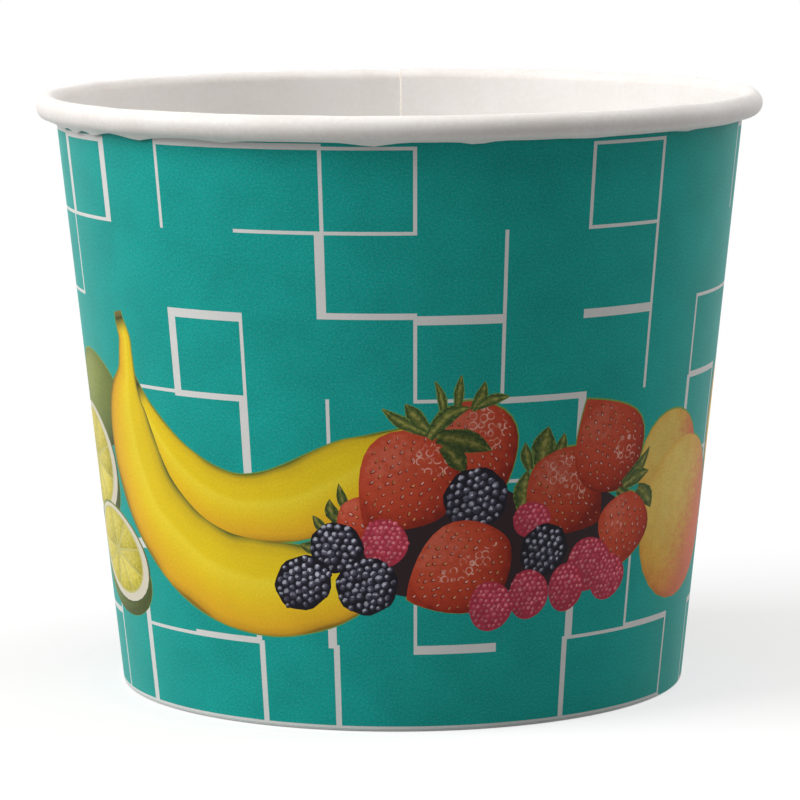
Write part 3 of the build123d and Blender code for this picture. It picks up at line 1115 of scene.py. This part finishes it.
def lay_berries(shift, seed):
    """Lays the heap of berries with its leaves."""
    def leaves(rows, tint=1.0):
        """Lays leaves from rows of a base, a tip, half the width and the bow."""
        for base, tip, half_width, bow in rows:
            leaf((base[0] + shift, base[1]), (tip[0] + shift, tip[1]), half_width, bow, tint)

    def berries(rows, kind, first_seed, pitch, turn_step=0, lumps=7):
        """Lays beaded berries of one kind from rows of x, y, width and height."""
        for number, (x, y, width, height) in enumerate(rows):
            own_seed = seed + first_seed + number
            beaded_berry((x + shift, y), width, height, turn_step * number, kind, own_seed, pitch, lumps)

    shade = [(-7, 22), (-5, 27), (0, 31), (5, 34), (12, 32), (17, 29), (26, 31), (33, 27), (31, 21),
             (26, 18.5), (18, 18.0), (12, 18.0), (4, 17.0), (-1, 18), (-4, 20)]
    lay([(x + shift, y) for x, y in shade], "berry_shade")
    leaves([((-6.5, 28.0), (-7.8, 32.2), 0.7, 0.2), ((-7.6, 27.0), (-9.0, 30.2), 0.9, 0.5),
            ((-9.5, 25.5), (-11.3, 28.0), 0.7, 0.0), ((-9.6, 24.0), (-13.2, 24.2), 0.9, 0.3)], 0.8)
    leaves([((16.4, 27.0), (16.3, 33.4), 1.5, 0.5), ((16.6, 33.4), (15.8, 36.9), 0.8, 0.2),
            ((18.2, 33.4), (18.9, 38.8), 1.7, 0.2), ((20.0, 34.2), (21.2, 37.8), 0.8, -0.2)], 0.9)
    strawberry((9.9 + shift, 36.4), 10.6, 13.2, 24, seed + 1, (2.0, 2.2, 2.4, 2.9), tint=0.95)
    leaves([((5.4, 40.2), (4.2, 45.2), 0.55, -0.3), ((7.0, 41.2), (7.4, 45.9), 0.6, 0.1),
            ((8.8, 41.4), (10.3, 45.0), 0.75, -0.3), ((9.4, 41.8), (13.4, 43.0), 0.7, 0.3)], 1.05)
    strawberry((22.3 + shift, 29.9), 11.8, 13.0, 52, seed + 2, (1.6, 1.8, 2.4, 3.8), tint=0.88)
    strawberry((28.3 + shift, 35.9), 12.4, 14.4, 214, seed + 3, (-2.0, 2.6, 2.2, 2.0), tint=0.9, taper=0.75)
    leaves([((31.2, 30.2), (36.1, 34.6), 0.9, -0.5), ((31.4, 29.9), (36.3, 31.4), 1.0, 0.3),
            ((30.4, 29.6), (33.2, 28.4), 0.9, -0.2), ((34.2, 29.4), (37.4, 26.4), 1.3, 0.5)], 0.9)
    strawberry((32.1 + shift, 24.3), 9.8, 9.8, -10, seed + 4, (-1.6, 0.4, 1.0, 1.0), tint=1.05)
    strawberry((-5.0 + shift, 27.4), 6.6, 6.4, 50, seed + 5, tint=1.05)
    strawberry((0.5 + shift, 32.2), 13.0, 15.0, -42, seed + 6, (0.4, 4.4, 2.3, 1.9))
    leaves([((3.2, 38.6), (-2.2, 41.8), 0.8, 0.3), ((3.2, 39.2), (0.6, 42.4), 1.0, 0.1),
            ((3.4, 38.0), (8.6, 41.8), 1.1, 0.9)], 1.0)
    leaves([((4.4, 38.2), (11.4, 36.2), 1.5, 0.4), ((5.2, 37.0), (8.0, 33.4), 1.3, 0.3)], 0.62)
    beaded_berry((9.5 + shift, 30.1), 8.8, 8.4, 20, "bramble", seed + 7, 1.08)
    strawberry((7.4 + shift, 20.9), 12.2, 15.2, -62, seed + 8, (0.0, 1.6, 1.3, 4.6), tint=1.02)
    right = [(17.1, 27.0, 5.6, 4.8), (26.2, 20.4, 7.6, 7.4), (29.6, 18.4, 6.6, 6.4)]
    berries(right, "raspberry", 20, raspberry_pitch, lumps=3)
    berries([(-2.1, 24.6, 6.2, 6.6)], "raspberry", 24, raspberry_pitch, lumps=3)
    brambles = [(-8.3, 23.9, 7.4, 6.9), (-4.5, 19.0, 8.6, 7.8), (-13.0, 19.2, 8.6, 7.2),
                (19.1, 22.9, 7.4, 7.0)]
    berries(brambles, "bramble", 30, bramble_pitch, turn_step=15)
    front = [(22.7, 17.7, 5.8, 6.6), (17.1, 17.3, 6.0, 6.8), (11.8, 16.1, 6.3, 6.8)]
    berries(front, "raspberry", 40, raspberry_pitch, lumps=3)


# %% [markdown]
# The groups go round the cup: limes, bananas, the heap of berries and peaches at the front, and the
# same kinds again in another order behind. They keep clear of the seam. The thin edges go under all
# fruit and over the lines, so that they only show against the ground.

# %% Lay the fruit round the cup
line_count = len(art)
lay_peaches(-117.0)
lay_berries(-105.0, 200)
lay_limes(0.0)
lay_bananas(0.0)
lay_limes(158.0)
lay_bananas(103.0)
lay_peaches(0.0)
lay_berries(0.0, 100)
fruit = art[line_count:]
edges = [face for face in fruit if face["ink"] == "fruit_edge"]
art = art[:line_count] + edges + [face for face in fruit if face["ink"] != "fruit_edge"]
print("the print has", len(art), "faces")

# %% [markdown]
# Much of the art lies hidden under later fruit. What one later shape covers whole is left out, so that
# the blank isn't cut up for nothing.

# %% Leave out what lies hidden
cover_area = 12.0


def inside_outline(spots, shape):
    """Which of these points lie inside an outline, by counting how often a level ray crosses it."""
    x, y = spots.T
    crossings = np.zeros(len(spots), dtype=int)
    for (x0, y0), (x1, y1) in zip(shape, shape[1:] + shape[:1]):
        if y0 != y1:
            crossings += ((y0 > y) != (y1 > y)) & (x < x0 + (y - y0) * (x1 - x0) / (y1 - y0))
    return crossings % 2 == 1


art_corners = np.array([point for face in art for point in face["points"]])
corner_counts = np.array([len(face["points"]) for face in art])
owners = np.repeat(np.arange(len(art)), corner_counts)
hidden = np.zeros(len(art), dtype=bool)
for number, face in enumerate(art):
    if signed_area(face["points"]) > cover_area:
        earlier = owners < number
        covered = owners[earlier][inside_outline(art_corners[earlier], face["points"])]
        hidden |= np.bincount(covered, minlength=len(art)) == corner_counts
art = [face for face, lost in zip(art, hidden) if not lost]
print(len(art), "faces of art are left")

# %% [markdown]
# ## White board and its cut edge
#
# The cup's inside, its rim and its floor are the board's own white face under a thin water-proof film.
# Its colour is warm and a little cloudy, with fibres that show as a faint relief. Where the board is
# cut, the film ends and the fibres are duller. Both read Object coordinates, so that the pattern has
# the same size on the wall and on the disc.

# %% Mix the board's finishes
board_gloss = 0.3
cloud_size = 12
tone_low = 0.38
tone_high = 0.62


def board_finish(name, light, dark, roughness, relief, fibre_size=0.6):
    """Bare or filmed board, whose colour wanders between a light and a dark shade."""
    material, graph, shader = new_finish(name, roughness, board_gloss)
    where = graph.add("ShaderNodeTexCoord").outputs["Object"]
    fine = 1 / (fibre_size * MM)
    fibres = graph.noise(where, fine, detail=4.0)
    clouds = graph.noise(where, fine / cloud_size, detail=2.0)
    tone = graph.math("ADD", graph.math("MULTIPLY", fibres, 0.5), graph.math("MULTIPLY", clouds, 0.5))
    share = graph.remap(tone, tone_low, tone_high, 0.0, 1.0)
    shade = ramp(graph, share, [(0.0, colour(*dark)), (1.0, colour(*light))])
    graph.tree.links.new(shade, shader.inputs["Base Color"])
    add_relief(graph, shader, fibres, clouds, strength=0.6, relief=relief)
    return material


white_board = board_finish("white_board", (244, 241, 238), (241, 237, 233), roughness=0.45, relief=0.012)
rolled_board = board_finish("rolled_board", (244, 239, 235), (238, 231, 226), roughness=0.45, relief=0.05)
cut_board = board_finish("cut_board", (236, 230, 222), (214, 206, 196), roughness=0.85, relief=0.05,
                         fibre_size=0.25)
print("board finishes:", white_board.name, rolled_board.name, cut_board.name)

# %% [markdown]
# ## The raw edge of the roll
#
# The roll's raw edge is cut, not finished. It hangs a little below the roll and dips in cusps, where the
# board tore as it was rolled. The photograph shows nine of them in front, the largest at the left.
# Smaller ones follow by chance round the back. The last rows of the roll droop with the edge.

# %% Place the cusps of the raw edge
turn_columns = 192
lap_columns = 6
lap_share = [step / lap_columns for step in range(lap_columns)]
columns = [blank_left * (1 - share) - math.pi * print_radius * share for share in lap_share]
columns += [(math.tau * step / turn_columns - math.pi) * print_radius for step in range(turn_columns + 1)]
edge_hang = 0.42
cusp_sharpness = 1.4
cusp_drops = (0.1, 0.45)
cusp_half_widths = (1.6, 4.2)
cusp_spacings = [3, 4, 6, 8, 10]
seen_reach = math.radians(80) * print_radius
seen_cusps = [(-71, 0.6, 2.4), (-64.5, 0.75, 2.8), (-57.5, 0.65, 3.6), (-45.5, 0.6, 5.0),
              (-28.5, 0.3, 4.0), (-4.0, 0.5, 4.0), (12.0, 0.4, 2.6), (31.0, 0.12, 3.0), (52.0, 0.2, 2.4)]
cusps = [(math.radians(angle) * print_radius, drop, half) for angle, drop, half in seen_cusps]
ragged = random.Random(8)
next_cusp = 4
while next_cusp < len(columns) - 3:
    drop = ragged.uniform(*cusp_drops)
    half = ragged.uniform(*cusp_half_widths)
    if abs(columns[next_cusp]) > seen_reach:
        cusps.append((columns[next_cusp], drop, half))
    next_cusp += ragged.choice(cusp_spacings)


def droop_at(x):
    """How far the raw edge hangs down at this place across the blank, in millimetres."""
    hangs = [drop * max(0.0, 1 - abs(x - middle) / half) ** cusp_sharpness for middle, drop, half in cusps]
    return edge_hang + max(hangs)


droop_rows = 6
droop_start = stations[-droop_rows]
droop_curve = 1.5
deepest = max(drop for _, drop, _ in cusps)
print(len(columns), "columns and", len(cusps), "cusps, the deepest", round(deepest, 2), "mm")

# %% [markdown]
# ## The printed face
#
# Between the fold and the roll the print lies on the wall. All outlines of the art, the columns of the
# blank and the stations of its section go into one triangulation, which cuts them where they cross.
# The columns keep each triangle narrow, so that the wall stays round when it is wrapped. Each triangle
# then takes the ink of the topmost face that it lies in.

# %% Triangulate the print
print_scale = 1 / math.cos(wall_lean)
all_columns = np.array(columns)
all_stations = np.array(stations)


def station_of(height):
    """The station on the section line of a height on the wall."""
    return foot_station + (height - lowest_print) * print_scale


def height_of(station):
    """The height on the wall, or its straight continuation, of a station."""
    return lowest_print + (station - foot_station) / print_scale


def snapped(value, marks, reach=0.002):
    """The nearest mark if the value is as good as on it, and else the value itself."""
    nearest = marks[np.abs(marks - value).argmin()]
    return float(nearest) if abs(nearest - value) < reach else float(value)


outline_points = []
outline_edges = []


def add_edge(start, end):
    """Adds a straight line that the triangulation has to keep."""
    outline_points.extend([Vector(start), Vector(end)])
    outline_edges.append((len(outline_points) - 2, len(outline_points) - 1))


wall_rows = [float(station) for station in stations[wall_first:wall_last + 1]]
for x in columns:
    add_edge((x, wall_rows[0]), (x, wall_rows[-1]))
for station in wall_rows:
    add_edge((columns[0], station), (columns[-1], station))

faces_in = []
for face in art:
    first = len(outline_points)
    outline_points.extend(Vector((x, station_of(y))) for x, y in face["points"])
    faces_in.append(list(range(first, len(outline_points))))
merge_reach = 1e-6
only_inside = 1
cut_points, _, cut_faces, _, _, cut_sources = delaunay_2d_cdt(
    outline_points, outline_edges, faces_in, only_inside, merge_reach, True)
print(len(cut_faces), "triangles on the printed wall, from", len(art), "faces of art")

# %% [markdown]
# ## The flat blank
#
# The blank is a closed slab: the printed face up, the white face down, and strips for its four cut
# edges. A corner is made once and shared by every face that meets there, so the slab has no gaps.
# Corners that lie within a hundredth of a millimetre become one, which drops needle-thin triangles.

# %% Build the slab
corner_numbers = {}
corner_places = []
corner_droops = []
slab_faces = []
cut_slope = 0.2


def corner(x, station, depth):
    """The number of the slab's corner at this place, which is made once and shared from then on."""
    key = (round(x, 2), round(station, 2), depth)
    if key not in corner_numbers:
        corner_numbers[key] = len(corner_places)
        row = min(max(station - droop_start, 0.0) / (stations[-1] - droop_start), 1.0)
        corner_places.append((x * MM, station * MM, -depth * MM))
        corner_droops.append(droop_at(x) * row ** droop_curve * MM)
    return corner_numbers[key]


def back_corner(x, station):
    """A corner of the white side. At the lap's inner end the knife left a slope, which shows inside."""
    return corner(x - (cut_slope if x == columns[-1] else 0.0), station, board)


def add_face(corners, finish, art_face=None):
    """Adds one face, with its corners counted against the clock as seen from outside."""
    slab_faces.append((corners, finish, art_face))


teal_round_fold = 2.6
line_round_fold = 0.35
low_line_reach = 1.2
low_lines = []
for face in art:
    across = [x for x, y in face["points"]]
    top = max(y for x, y in face["points"])
    if face["ink"] == "white_line" and top < lowest_print + low_line_reach:
        low_lines.append((min(across), max(across)))


def printed_finish(x, station):
    """The ink of the printed side away from the wall: the fold carries the print on, the roll is white."""
    if not foot_station - teal_round_fold < station < foot_station:
        return "white_board"
    lined = any(start < x < end for start, end in low_lines)
    return "white_line" if lined and station > foot_station - line_round_fold else "teal_ground"


for x in columns:
    for station in stations:
        corner(x, float(station), 0.0)
for triangle, sources in zip(cut_faces, cut_sources):
    spots = [cut_points[index] for index in triangle]
    ids = [corner(snapped(spot.x, all_columns), snapped(spot.y, all_stations), 0.0) for spot in spots]
    face = art[max(sources)] if sources else None
    if len(set(ids)) == 3:
        add_face(ids, face["ink"] if face else "teal_ground", face)
wall_face_count = len(slab_faces)

for row in range(len(stations) - 1):
    low, high = float(stations[row]), float(stations[row + 1])
    on_wall = wall_first <= row < wall_last
    back_finish = "white_board" if on_wall else "rolled_board"
    for left, right in zip(columns, columns[1:]):
        ring = [(left, low), (right, low), (right, high), (left, high)]
        add_face([back_corner(x, y) for x, y in reversed(ring)], back_finish)
        if not on_wall:
            front_finish = printed_finish((left + right) / 2, (low + high) / 2)
            add_face([corner(x, y, 0.0) for x, y in ring], front_finish)
    for x, way in ((columns[0], 1), (columns[-1], -1)):
        strip = [corner(x, high, 0.0), back_corner(x, high), back_corner(x, low), corner(x, low, 0.0)]
        add_face(strip[::way], "cut_edge")
for left, right in zip(columns, columns[1:]):
    for station, way in ((float(stations[0]), 1), (float(stations[-1]), -1)):
        strip = [corner(left, station, 0.0), back_corner(left, station),
                 back_corner(right, station), corner(right, station, 0.0)]
        add_face(strip[::way], "cut_edge")
print(len(corner_places), "corners and", len(slab_faces), "faces in the flat blank")

# %% [markdown]
# The slab's finishes, its two maps, its tints and its droop are stored with the mesh, because the
# wrapping tree moves points and leaves all of that where it is.

# %% Turn the slab into a mesh
finishes = dict(inks, white_board=white_board, rolled_board=rolled_board, cut_edge=cut_board)
used = sorted({finish for _, finish, _ in slab_faces})
blank = bpy.data.meshes.new("flat_blank")
blank.from_pydata(corner_places, [], [corners for corners, _, _ in slab_faces])
for finish in used:
    blank.materials.append(finishes[finish])
flat_run_end = run_angle * print_radius - math.pi * print_radius
values = {name: [] for name in ("print", "shape", "tint", "finish", "cut_edge", "print_on_wall")}
for number, (corners, finish, art_face) in enumerate(slab_faces):
    values["finish"].append(used.index(finish))
    values["cut_edge"].append(finish == "cut_edge")
    leftmost = min(corner_places[index][0] for index in corners) / MM
    values["print_on_wall"].append(number < wall_face_count and leftmost > flat_run_end)
    for index in corners:
        x = corner_places[index][0] / MM
        y = height_of(corner_places[index][1] / MM)
        values["print"] += [x, y]
        (a, b, c), (d, e, f) = art_face["map"] if art_face else ((0, 0, 0), (0, 0, 0))
        values["shape"] += [a * x + b * y + c, d * x + e * y + f]
        tone = art_face["tint"] if art_face else 1.0
        values["tint"] += [tone, tone, tone, 1.0]
blank.polygons.foreach_set("material_index", values["finish"])
blank.uv_layers.new(name="print").data.foreach_set("uv", values["print"])
blank.uv_layers.new(name="shape").data.foreach_set("uv", values["shape"])
blank.color_attributes.new("tint", "FLOAT_COLOR", "CORNER").data.foreach_set("color", values["tint"])
blank.attributes.new("droop", "FLOAT", "POINT").data.foreach_set("value", corner_droops)
for name in ("cut_edge", "print_on_wall"):
    blank.attributes.new(name, "BOOLEAN", "FACE").data.foreach_set("value", values[name])
blank.shade_smooth()
keys = {True: [], False: []}
for face, (_, finish, _) in zip(blank.polygons, slab_faces):
    keys[finish == "cut_edge"].extend(face.edge_keys)
rims = set(keys[True]).intersection(keys[False])
for edge in blank.edges:
    edge.use_edge_sharp = edge.key in rims
uses = np.unique(np.array(keys[True] + keys[False]), axis=0, return_counts=True)[1]
print("the blank has", len(used), "finishes and", int((uses != 2).sum()), "open edges")

# %% [markdown]
# ## Wrapping it
#
# Now the blank goes through the tree once. The lap's share of the turn and the flat run are worked out
# from the cup's own sizes, so a wider lap or a thicker board would wrap just as well.

# %% Wrap the blank round the cone
fade_length = 4.0
roll_unevenness = 0.35
sidewall_mesh = grown("sidewall_printed", wrap.tree, {
    "Section": section_line, "Print Radius": print_radius * MM, "Board": board * MM, "Run Angle": run_angle,
    "Foot Station": foot_station * MM, "Top Station": top_station * MM, "Fade Length": fade_length * MM,
    "Rise At Foot": 0.3, "Rise In Roll": 1.0, "Roll Unevenness": roll_unevenness * MM,
    "Cut Edge": cut_board, "Seed": 3.0}, blank)
bpy.data.objects.remove(section_line)
print("wrapped:", len(sidewall_mesh.vertices), "corners,", len(sidewall_mesh.polygons), "faces")

# %% [markdown]
# Flat triangles only come near to a round wall, and thin ones where outlines cross would catch the
# light like creases. So each corner on the printed wall is lit by the direction that the tree noted,
# which is the true cone's. A zero direction leaves Blender's own, as in the roll, fold and lap.

# %% Light the wall as a true cone
corner_total = len(sidewall_mesh.loops)
corner_points = np.empty(corner_total, dtype=int)
sidewall_mesh.loops.foreach_get("vertex_index", corner_points)
noted = np.empty(len(sidewall_mesh.vertices) * 3)
sidewall_mesh.attributes["inward"].data.foreach_get("vector", noted)
on_wall = np.empty(len(sidewall_mesh.polygons), dtype=bool)
sidewall_mesh.attributes["print_on_wall"].data.foreach_get("value", on_wall)
corners_of_face = np.empty(len(sidewall_mesh.polygons), dtype=int)
sidewall_mesh.polygons.foreach_get("loop_total", corners_of_face)
directions = -noted.reshape(-1, 3)[corner_points] * np.repeat(on_wall, corners_of_face)[:, None]
sidewall_mesh.normals_split_custom_set(directions.tolist())
print(int(on_wall.sum()), "faces are lit as a true cone")

# %% [markdown]
# ## The finished sidewall
#
# The mesh becomes an object at the origin. It rides on the cup's one body, and it takes the place of the
# plain CAD sidewall, which would show through it otherwise.

# %% Put the sidewall in place
sidewall_piece = new_object("sidewall_printed", sidewall_mesh)
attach(sidewall_piece, "root")
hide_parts("sidewall")
sidewall_mesh.calc_loop_triangles()
print("sidewall:", len(sidewall_mesh.loop_triangles), "triangles,", len(sidewall_mesh.materials), "finishes")

# %% [markdown]
# ## The base disc
#
# The disc's shape in the frame is already right, so it keeps its mesh and gets the white board.

# %% Give the disc its finish
disc = bpy.data.objects["base_disc"]
for slot in disc.material_slots:
    slot.material = white_board
print("base disc:", [slot.material.name for slot in disc.material_slots])

# %% [markdown]
# ## Camera
#
# The photograph was taken from a little above the rim with a long lens, so the cup's sides hardly
# converge. The camera's place is in front of the cup, and its tilt and slight roll are set here.

# %% Set the camera up
camera_place = Vector((1.3, -555.5, 115.2)) * MM
camera_yaw = -0.0026
camera_pitch = 0.1398
camera_roll = 0.0059
ahead = Vector((math.sin(camera_yaw) * math.cos(camera_pitch),
                math.cos(camera_yaw) * math.cos(camera_pitch), -math.sin(camera_pitch)))
level_right = Vector((math.cos(camera_yaw), -math.sin(camera_yaw), 0.0))
level_up = level_right.cross(ahead)
right = level_right * math.cos(camera_roll) - level_up * math.sin(camera_roll)
up = level_right * math.sin(camera_roll) + level_up * math.cos(camera_roll)
camera_data = bpy.data.cameras.new("camera")
camera_data.sensor_width = 36.0
camera_data.lens = 188.7
camera_data.clip_start = 0.01
camera = new_object("camera", camera_data)
turn = Matrix((right, up, -ahead)).transposed().to_4x4()
camera.matrix_world = Matrix.Translation(camera_place) @ turn
bpy.context.scene.camera = camera
print("camera looks along", [round(value, 3) for value in ahead])

# %% [markdown]
# ## Floor
#
# The cup stands on a plain pale floor in a white studio. Near the cup the floor is a matt grey that
# also glows, so that it looks almost white and still shows the cup's soft shadow. Further off it fades
# to plain white. Rays that carry light to the cup meet a plain grey floor instead, because the
# photograph shows little light from below.

# %% Lay the floor
floor_mesh = bpy.data.meshes.new("floor")
floor_reach = 4.0
floor_corners = [(-floor_reach, -floor_reach, 0), (floor_reach, -floor_reach, 0),
                 (floor_reach, floor_reach, 0), (-floor_reach, floor_reach, 0)]
floor_mesh.from_pydata(floor_corners, [], [(0, 1, 2, 3)])
floor = new_object("floor", floor_mesh)


def background_rays(graph):
    """1 for a ray from the camera or in a reflection, and 0 for a ray that carries light to the cup."""
    seen = graph.add("ShaderNodeLightPath").outputs
    bounced = graph.math("ADD", seen["Is Glossy Ray"], seen["Is Transmission Ray"])
    return graph.math("ADD", seen["Is Camera Ray"], bounced, clamp=True)


def mixed_shader(graph, share, first, second):
    """One shader where the share is 0, and another where it is 1."""
    return graph.add("ShaderNodeMixShader", {0: share, 1: first.outputs[0], 2: second.outputs[0]})


fade_start = 0.07
fade_end = 0.28
floor_finish = bpy.data.materials.new("floor_finish")
floor_finish.use_nodes = True
floor_finish.node_tree.nodes.remove(floor_finish.node_tree.nodes["Principled BSDF"])
stage = Graph(floor_finish.node_tree)
pale = stage.add("ShaderNodeBsdfDiffuse", {"Color": (0.4, 0.4, 0.4, 1.0)})
shade = stage.add("ShaderNodeBsdfDiffuse", {"Color": (0.42, 0.42, 0.42, 1.0)})
glow = stage.add("ShaderNodeEmission", {"Color": (1.0, 1.0, 1.0, 1.0), "Strength": 0.6})
white = stage.add("ShaderNodeEmission", {"Color": (1.0, 1.0, 1.0, 1.0), "Strength": 1.0})
near_cup = stage.add("ShaderNodeAddShader", {0: shade.outputs[0], 1: glow.outputs[0]})
floor_place = stage.add("ShaderNodeTexCoord").outputs["Object"]
from_cup = stage.add("ShaderNodeVectorMath", {0: floor_place}, operation="LENGTH").outputs["Value"]
far_off = stage.remap(from_cup, fade_start, fade_end, 0.0, 1.0)
looked_at = mixed_shader(stage, far_off, near_cup, white)
floor_shader = mixed_shader(stage, background_rays(stage), pale, looked_at)
floor_output = floor_finish.node_tree.nodes["Material Output"]
stage.tree.links.new(floor_shader.outputs[0], floor_output.inputs["Surface"])
floor_mesh.materials.append(floor_finish)
print("floor:", floor_reach * 2, "m wide")

# %% [markdown]
# ## Lamps and world
#
# In the photograph the cup's left side is bright and its right side is dim, with a little light again at
# the far right. So a large soft lamp hangs to the left, a weaker one to the right and behind, and one
# overhead lights the rim and the inside. Their powers were found by fitting the tones of the wall, the
# rim and the inside. The world gives a weak even fill, though the camera and reflections see it as
# white.

# %% Hang the lamps and light the world
cup_middle = Vector((0.0, 0.0, 0.04))
lamp_distance = 1.2
lamp_size = 0.8


def soft_lamp(name, azimuth, elevation, power):
    """A square lamp that aims at the cup. Its azimuth is counted from the camera's side to the right."""
    data = bpy.data.lights.new(name, "AREA")
    data.shape = "SQUARE"
    data.size = lamp_size
    data.energy = power
    lamp = new_object(name, data)
    side = math.radians(azimuth)
    rise = math.radians(elevation)
    towards = Vector((math.sin(side) * math.cos(rise), -math.cos(side) * math.cos(rise), math.sin(rise)))
    lamp.location = cup_middle + towards * lamp_distance
    lamp.rotation_euler = towards.to_track_quat("Z", "Y").to_euler()


soft_lamp("key_lamp", -72, 37, 13.2)
soft_lamp("side_lamp", 110, 34, 4.6)
soft_lamp("top_lamp", 10, 76, 5.4)

world = bpy.data.worlds.new("studio")
bpy.context.scene.world = world
world.use_nodes = True
sky = Graph(world.node_tree)
background = world.node_tree.nodes["Background"]
fill_strength = 0.12
strength = sky.add("ShaderNodeMapRange", {"Value": background_rays(sky), "To Min": fill_strength,
                                          "To Max": 1.0})
background.inputs["Color"].default_value = (1.0, 1.0, 1.0, 1.0)
sky.tree.links.new(strength.outputs["Result"], background.inputs["Strength"])
bpy.context.scene.view_settings.view_transform = "Standard"

# %% [markdown]
# ## Finish
#
# The view layer is brought up to date at the end.

# %% Bring the scene up to date
bpy.context.view_layer.update()
